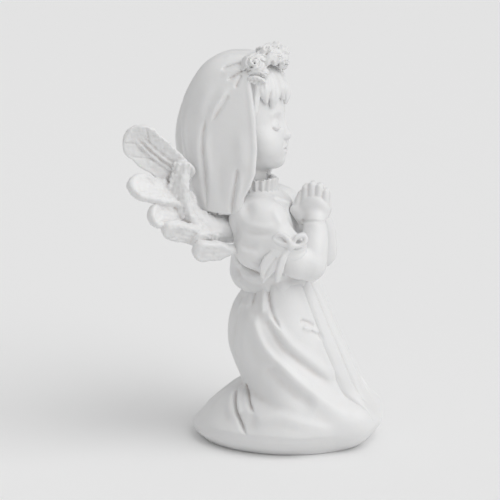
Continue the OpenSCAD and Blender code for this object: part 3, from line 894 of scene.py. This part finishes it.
def feather(p, root, tip, face, half_width, half_thick, rib, barb, taper, seed):
    """A paddle-shaped feather with a double rib and slanting barbs on its face."""
    way = unit(np.subtract(tip, root))
    across = unit(np.cross(-np.asarray(face), way))
    axes = np.array([way, across, np.cross(way, across)], np.float32)
    q = (p - np.asarray(root, np.float32)) @ axes.T
    span = float(np.linalg.norm(np.subtract(tip, root)))
    stem, blade = half_width * taper * 0.93, half_width * 0.93
    u = np.clip(q[:, 0] / (span - blade), 0, 1)
    outline = np.hypot(q[:, 0] - u * (span - blade), q[:, 1]) - (stem + (blade - stem) * ramp(u, 0, 0.75))
    outline += 0.18 * np.sin(q[:, 0] * 0.8 + seed) + 0.04 * np.sin(q[:, 1] * 2.3 + q[:, 0] * 1.7 + 2 * seed)
    bend = 0.9 * u * u - 0.035 * q[:, 1] ** 2
    lift = np.abs(q[:, 1] + 0.15 * np.sin(q[:, 0] * 0.4))
    along_rib = ramp(q[:, 0], 0.08 * span, 0.2 * span) * (1 - ramp(q[:, 0], 0.66 * span, 0.86 * span))
    relief = rib * along_rib * (np.exp(-((lift - 0.95) / 0.42) ** 2) - np.exp(-(lift / 0.42) ** 2)
                                - 0.7 * np.exp(-((lift - 2.0) / 0.5) ** 2))
    slant = q[:, 0] * 0.8 - lift * 1.3
    relief += barb * np.sin(slant * 2.1 + seed) * ramp(lift, 1.2, 3.0)
    for k in range(3):
        start = (0.3 + 0.19 * k + 0.05 * math.sin(seed + k)) * span
        vein = np.abs(q[:, 0] - start - lift * 1.5) * 0.55
        one_side = np.where(q[:, 1] * (-1) ** k > 0, 1, 0)
        relief += -(0.2 + 0.6 * rib) * np.exp(-(vein / 0.32) ** 2) * ramp(lift, 1.4, 2.4) * one_side
    relief += 0.14 * lumps(p, 4.5, seed) + 0.08 * lumps(p, 2.0, seed + 1)
    edge = half_thick * 0.75
    side = outline + edge
    flat = np.abs(q[:, 2] - bend) - half_thick - relief * (1 - ramp(outline, -1.6, -0.3)) + edge
    outside = np.sqrt(np.maximum(side, 0) ** 2 + np.maximum(flat, 0) ** 2)
    inside = np.minimum(np.maximum(side, flat), 0)
    return (outside + inside - edge).astype(np.float32) * 0.9


def feather_form(seed, root, tip, face, half_width, *relief):
    """A feather and the box that holds it."""
    lo, hi = np.minimum(root, tip) - half_width, np.maximum(root, tip) + half_width
    return Form(lambda p: feather(p, root, tip, face, half_width, *relief, seed), lo, hi)


def wing(p):
    """One wing, at +X: its feathers, the arm that carries them, and the rough coverts over their roots."""
    p = p - WING_ROOT
    clay = Clay(p)
    for k, parts in enumerate(FEATHERS):
        clay.add(feather_form(k + 1, *parts), 0.15)
    clay.add(rod([(7, 0, 0.4), (12.5, 4.5, 1.4), (17.5, 11.5, 3.8), (20, 17.6, 12), (21.5, 19.4, 25)],
                 [5.0, 5.0, 4.0, 2.9, 2.2]), 0.8)
    rng = np.random.default_rng(9)
    strip = curve([(20, 9, 0), (23.2, 15, 5), (25, 18, 12), (25.8, 18.6, 19), (25.2, 17.6, 26.4)], 4)
    clay.add(strap(strip[::4] - (1.2, 0, 0), [2.6, 3.4, 3.8, 3.8, 3.0], 1.5, (-0.3, 0.95, 0)), 0.5)
    for spot in strip:
        for column in (-1, -0.3, 0.4, 1):
            top = spot + np.array([0.1 - 0.6 * abs(column), 2.8 * column, 0]) + rng.uniform(-0.5, 0.5, 3)
            end = top + np.array([0.1, 0.9 * rng.uniform(-1, 1), -rng.uniform(1.4, 2.6)])
            clay.add(rod([top, end], [rng.uniform(0.6, 0.95), rng.uniform(0.4, 0.7)]), 0.35)
    rough = ramp(p[:, 2], 3, 8) * (1 - ramp(p[:, 1] - 0.6 * p[:, 2], 12, 16))
    clay.swell(0.1 * lumps(p, 3.5, 31) + (0.04 + 0.14 * rough) * lumps(p, 2.3, 32)
               + 0.08 * rough * lumps(p, 1.2, 33))
    return clay.d


def right_wing(p):
    return wing(mirrored(p))


def left_wing(p):
    leaned = np.stack([p[:, 0], p[:, 1] + SET_FORWARD * np.maximum(p[:, 0] - 8, 0), p[:, 2]], 1)
    return wing(leaned)


# --- the pieces ---

# Each piece: its clay, whose function is named after the CAD node that the piece is modelled on, and the
# size of its facets in mm.
PIECES = [
    (skirt, 0.42), (bodice, 0.36), (collar, 0.25), (head, 0.28), (fringe, 0.26), (veil, 0.36),
    (rose_middle, 0.2), (rose_right_front, 0.2), (rose_left_front, 0.2), (rose_right_side, 0.2),
    (rose_left_side, 0.2), (leaf_right, 0.2), (leaf_left, 0.2), (right_sleeve, 0.32),
    (left_sleeve, 0.32), (right_arm, 0.26), (left_arm, 0.26), (right_bow, 0.22), (left_bow, 0.22),
    (right_wing, 0.28), (left_wing, 0.28)]
MARGIN = 3.0  # how far past the node's box the clay is looked at
DEEPEST = 0.03  # how far, in mm, a point of the deepest hollow lies under its neighbours


def recesses(points, faces):
    """How deep in a hollow each point lies, about 0 to 1, from how its neighbours stand round it."""
    a, b, c, d = (points[faces[:, k]] for k in range(4))
    cross = np.cross(c - a, d - b)
    normal = np.zeros_like(points)
    for k in range(4):
        np.add.at(normal, faces[:, k], cross)
    normal /= np.linalg.norm(normal, axis=1, keepdims=True) + 1e-12
    one = faces.ravel()
    two = np.roll(faces, 1, axis=1).ravel()
    number = len(points)
    count = np.bincount(one, minlength=number) + np.bincount(two, minlength=number) + 1e-9

    def around(values):
        return (np.bincount(one, values[two], number) + np.bincount(two, values[one], number)) / count

    step = np.stack([around(points[:, k]) for k in range(3)], 1) - points
    depth = np.einsum("ij,ij->i", step, normal)
    for _ in range(6):
        depth = around(depth)
    return np.clip(depth / DEEPEST, 0, 1)


def place(name, data):
    """A new object of the scene."""
    thing = bpy.data.objects.new(name, data)
    bpy.context.scene.collection.objects.link(thing)
    return thing


def add_piece(clay, step):
    """Skins clay, puts resin on it, and hides its CAD node."""
    node = clay.__name__
    name = node.title().replace("_", "")
    around = box(node)
    points, faces = skin(clay, around.lo - MARGIN, around.hi + MARGIN, step * (1))
    mesh = bpy.data.meshes.new(name)
    mesh.vertices.add(len(points))
    mesh.vertices.foreach_set("co", (points * MM).ravel())
    mesh.loops.add(faces.size)
    mesh.loops.foreach_set("vertex_index", faces.ravel())
    mesh.polygons.add(len(faces))
    mesh.polygons.foreach_set("loop_start", np.arange(len(faces)) * 4)
    mesh.polygons.foreach_set("loop_total", np.full(len(faces), 4))
    mesh.polygons.foreach_set("use_smooth", np.ones(len(faces), bool))
    mesh.update(calc_edges=True)
    # How deep in a hollow each point lies; the resin turns it into a warm darker tint, partly dust and
    # partly painted shade.
    recess = mesh.attributes.new("recess", "FLOAT", "POINT")
    recess.data.foreach_set("value", recesses(points, faces).astype(np.float32))
    mesh.materials.append(resin)
    piece = place(name, mesh)
    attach(piece, "root")
    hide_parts(node)


# --- materials ---


def put(node, **settings):
    """Sets a shader node's inputs, with _ for a space in their names, or its properties."""
    for key, value in settings.items():
        socket = key.replace("_", " ")
        if socket in node.inputs:
            node.inputs[socket].default_value = value
        else:
            setattr(node, key, value)
    return node


def new_material(name, **values):
    """A material, and its Principled shader with those values."""
    material = bpy.data.materials.new(name)
    material.use_nodes = True
    return material, put(material.node_tree.nodes["Principled BSDF"], **values)


def add_node(material, kind, **settings):
    return put(material.node_tree.nodes.new(kind), **settings)


def noise(material, size, detail):
    """Noise whose bumps are about size mm across."""
    node = add_node(material, "ShaderNodeTexNoise", Scale=1 / (size * MM), Detail=detail)
    where = add_node(material, "ShaderNodeTexCoord")
    material.node_tree.links.new(where.outputs["Object"], node.inputs["Vector"])
    return node


def make_resin():
    """White cast resin: a satin skin with a fine grain, a few pits, and a warm darker tint in the hollows
    that is partly dust and partly painted shade.
    """
    material, shader = new_material("Resin", IOR=1.5, Subsurface_Weight=0.05, Subsurface_Scale=MM,
                                    Subsurface_Radius=(1.0, 0.8, 0.6))
    link = material.node_tree.links.new
    clouds = noise(material, 22, 3)
    grain = noise(material, 0.5, 4)
    waves = noise(material, 3.5, 2)
    specks = noise(material, 1.1, 1)

    tone = add_node(material, "ShaderNodeValToRGB")
    for stop, position, grey in zip(tone.color_ramp.elements, (0.35, 0.65), (0.80, 0.835)):
        stop.position = position
        stop.color = (grey, grey, grey, 1)
    link(clouds.outputs["Fac"], tone.inputs["Fac"])

    # The recess attribute drives a warm darker tint in the hollows: partly dust, partly painted shade.
    hollow = add_node(material, "ShaderNodeAttribute", attribute_name="recess")
    dust_and_shade = add_node(material, "ShaderNodeMath", operation="MULTIPLY")
    patch = add_node(material, "ShaderNodeMapRange", From_Min=0.4, From_Max=0.7, To_Min=0.15, To_Max=0.6)
    link(waves.outputs["Fac"], patch.inputs["Value"])
    link(hollow.outputs["Fac"], dust_and_shade.inputs[0])
    link(patch.outputs["Result"], dust_and_shade.inputs[1])
    tint = add_node(material, "ShaderNodeMix", data_type="RGBA")
    link(dust_and_shade.outputs["Value"], tint.inputs["Factor"])
    link(tone.outputs["Color"], tint.inputs[6])
    # The colour of the hollows' tint, partly dust and partly painted shade.
    tint.inputs[7].default_value = (0.66, 0.58, 0.53, 1)
    link(tint.outputs[2], shader.inputs["Base Color"])

    gloss = add_node(material, "ShaderNodeMapRange", To_Min=0.33, To_Max=0.5)
    link(waves.outputs["Fac"], gloss.inputs["Value"])
    link(gloss.outputs["Result"], shader.inputs["Roughness"])

    pits = add_node(material, "ShaderNodeMapRange", From_Min=0.22, From_Max=0.32, To_Min=-1.6, To_Max=0)
    link(specks.outputs["Fac"], pits.inputs["Value"])
    height = add_node(material, "ShaderNodeMath", operation="ADD")
    link(grain.outputs["Fac"], height.inputs[0])
    link(pits.outputs["Result"], height.inputs[1])
    bump = add_node(material, "ShaderNodeBump", Strength=0.35, Distance=0.05 * MM)
    link(height.outputs["Value"], bump.inputs["Height"])
    soft = add_node(material, "ShaderNodeBump", Strength=0.3, Distance=0.25 * MM)
    link(waves.outputs["Fac"], soft.inputs["Height"])
    link(bump.outputs["Normal"], soft.inputs["Normal"])
    link(soft.outputs["Normal"], shader.inputs["Normal"])
    return material


def make_floor(low, high):
    """A wide flat sheet of white paper under the figure."""
    reach = 40 * (high - low).length
    middle = (low + high) / 2
    mesh = bpy.data.meshes.new("Floor")
    mesh.from_pydata([(middle.x + sx * reach, middle.y + sy * reach, low.z)
                      for sx, sy in ((-1, -1), (1, -1), (1, 1), (-1, 1))], [], [(0, 1, 2, 3)])
    material, shader = new_material("Paper", Roughness=0.9, Base_Color=(0.9, 0.9, 0.9, 1))
    fibres = noise(material, 0.6, 3)
    bump = add_node(material, "ShaderNodeBump", Strength=0.05, Distance=0.02 * MM)
    material.node_tree.links.new(fibres.outputs["Fac"], bump.inputs["Height"])
    material.node_tree.links.new(bump.outputs["Normal"], shader.inputs["Normal"])
    mesh.materials.append(material)
    place("Floor", mesh)


# --- lights and camera ---

CAMERA_AZIMUTH, CAMERA_ELEVATION = -77.5, 12.0
CAMERA_FAR = 600.0  # mm from the aim
CAMERA_AIM = (0, 7.15, -3.25)  # mm from the middle of the CAD box
IMAGE_PIXELS, FOCAL_PIXELS = 500, 1608  # the width of the picture and the focal length


def direction(azimuth, elevation):
    """The way from the figure to something at that elevation and azimuth, 0 in front and 90 at its left."""
    a, e = math.radians(azimuth), math.radians(elevation)
    return Vector((math.sin(a) * math.cos(e), -math.cos(a) * math.cos(e), math.sin(e)))


def add_light(name, azimuth, elevation, spread, strength):
    """A far, soft light: spread is how wide it looks from the figure, in degrees."""
    light = bpy.data.lights.new(name, "SUN")
    light.angle, light.energy = math.radians(spread), strength
    lamp = place(name, light)
    lamp.rotation_mode = "QUATERNION"
    lamp.rotation_quaternion = direction(azimuth, elevation).to_track_quat("Z", "Y")


def light_studio():
    world = bpy.data.worlds.new("Studio")
    world.use_nodes = True
    put(world.node_tree.nodes["Background"], Color=(1, 1, 1, 1), Strength=0.43)
    bpy.context.scene.world = world
    add_light("Key", -20, 46, 60, 1.45)
    add_light("Top", 150, 75, 70, 0.35)


def add_camera(target):
    camera = bpy.data.cameras.new("Camera")
    camera.sensor_width = 36
    camera.lens = FOCAL_PIXELS * camera.sensor_width / IMAGE_PIXELS
    eye = place("Camera", camera)
    way = direction(CAMERA_AZIMUTH, CAMERA_ELEVATION)
    eye.location = target + way * CAMERA_FAR * MM
    eye.rotation_mode = "QUATERNION"
    eye.rotation_quaternion = way.to_track_quat("Z", "Y")
    camera.clip_start, camera.clip_end = 10 * MM, 20
    bpy.context.scene.camera = eye


resin = make_resin()
for piece in PIECES:
    add_piece(*piece)
low, high = Vector(cad_box[0]), Vector(cad_box[1])
make_floor(low, high)
light_studio()
add_camera((low + high) / 2 + Vector(CAMERA_AIM) * MM)

scene = bpy.context.scene
scene.view_settings.view_transform = "Standard"
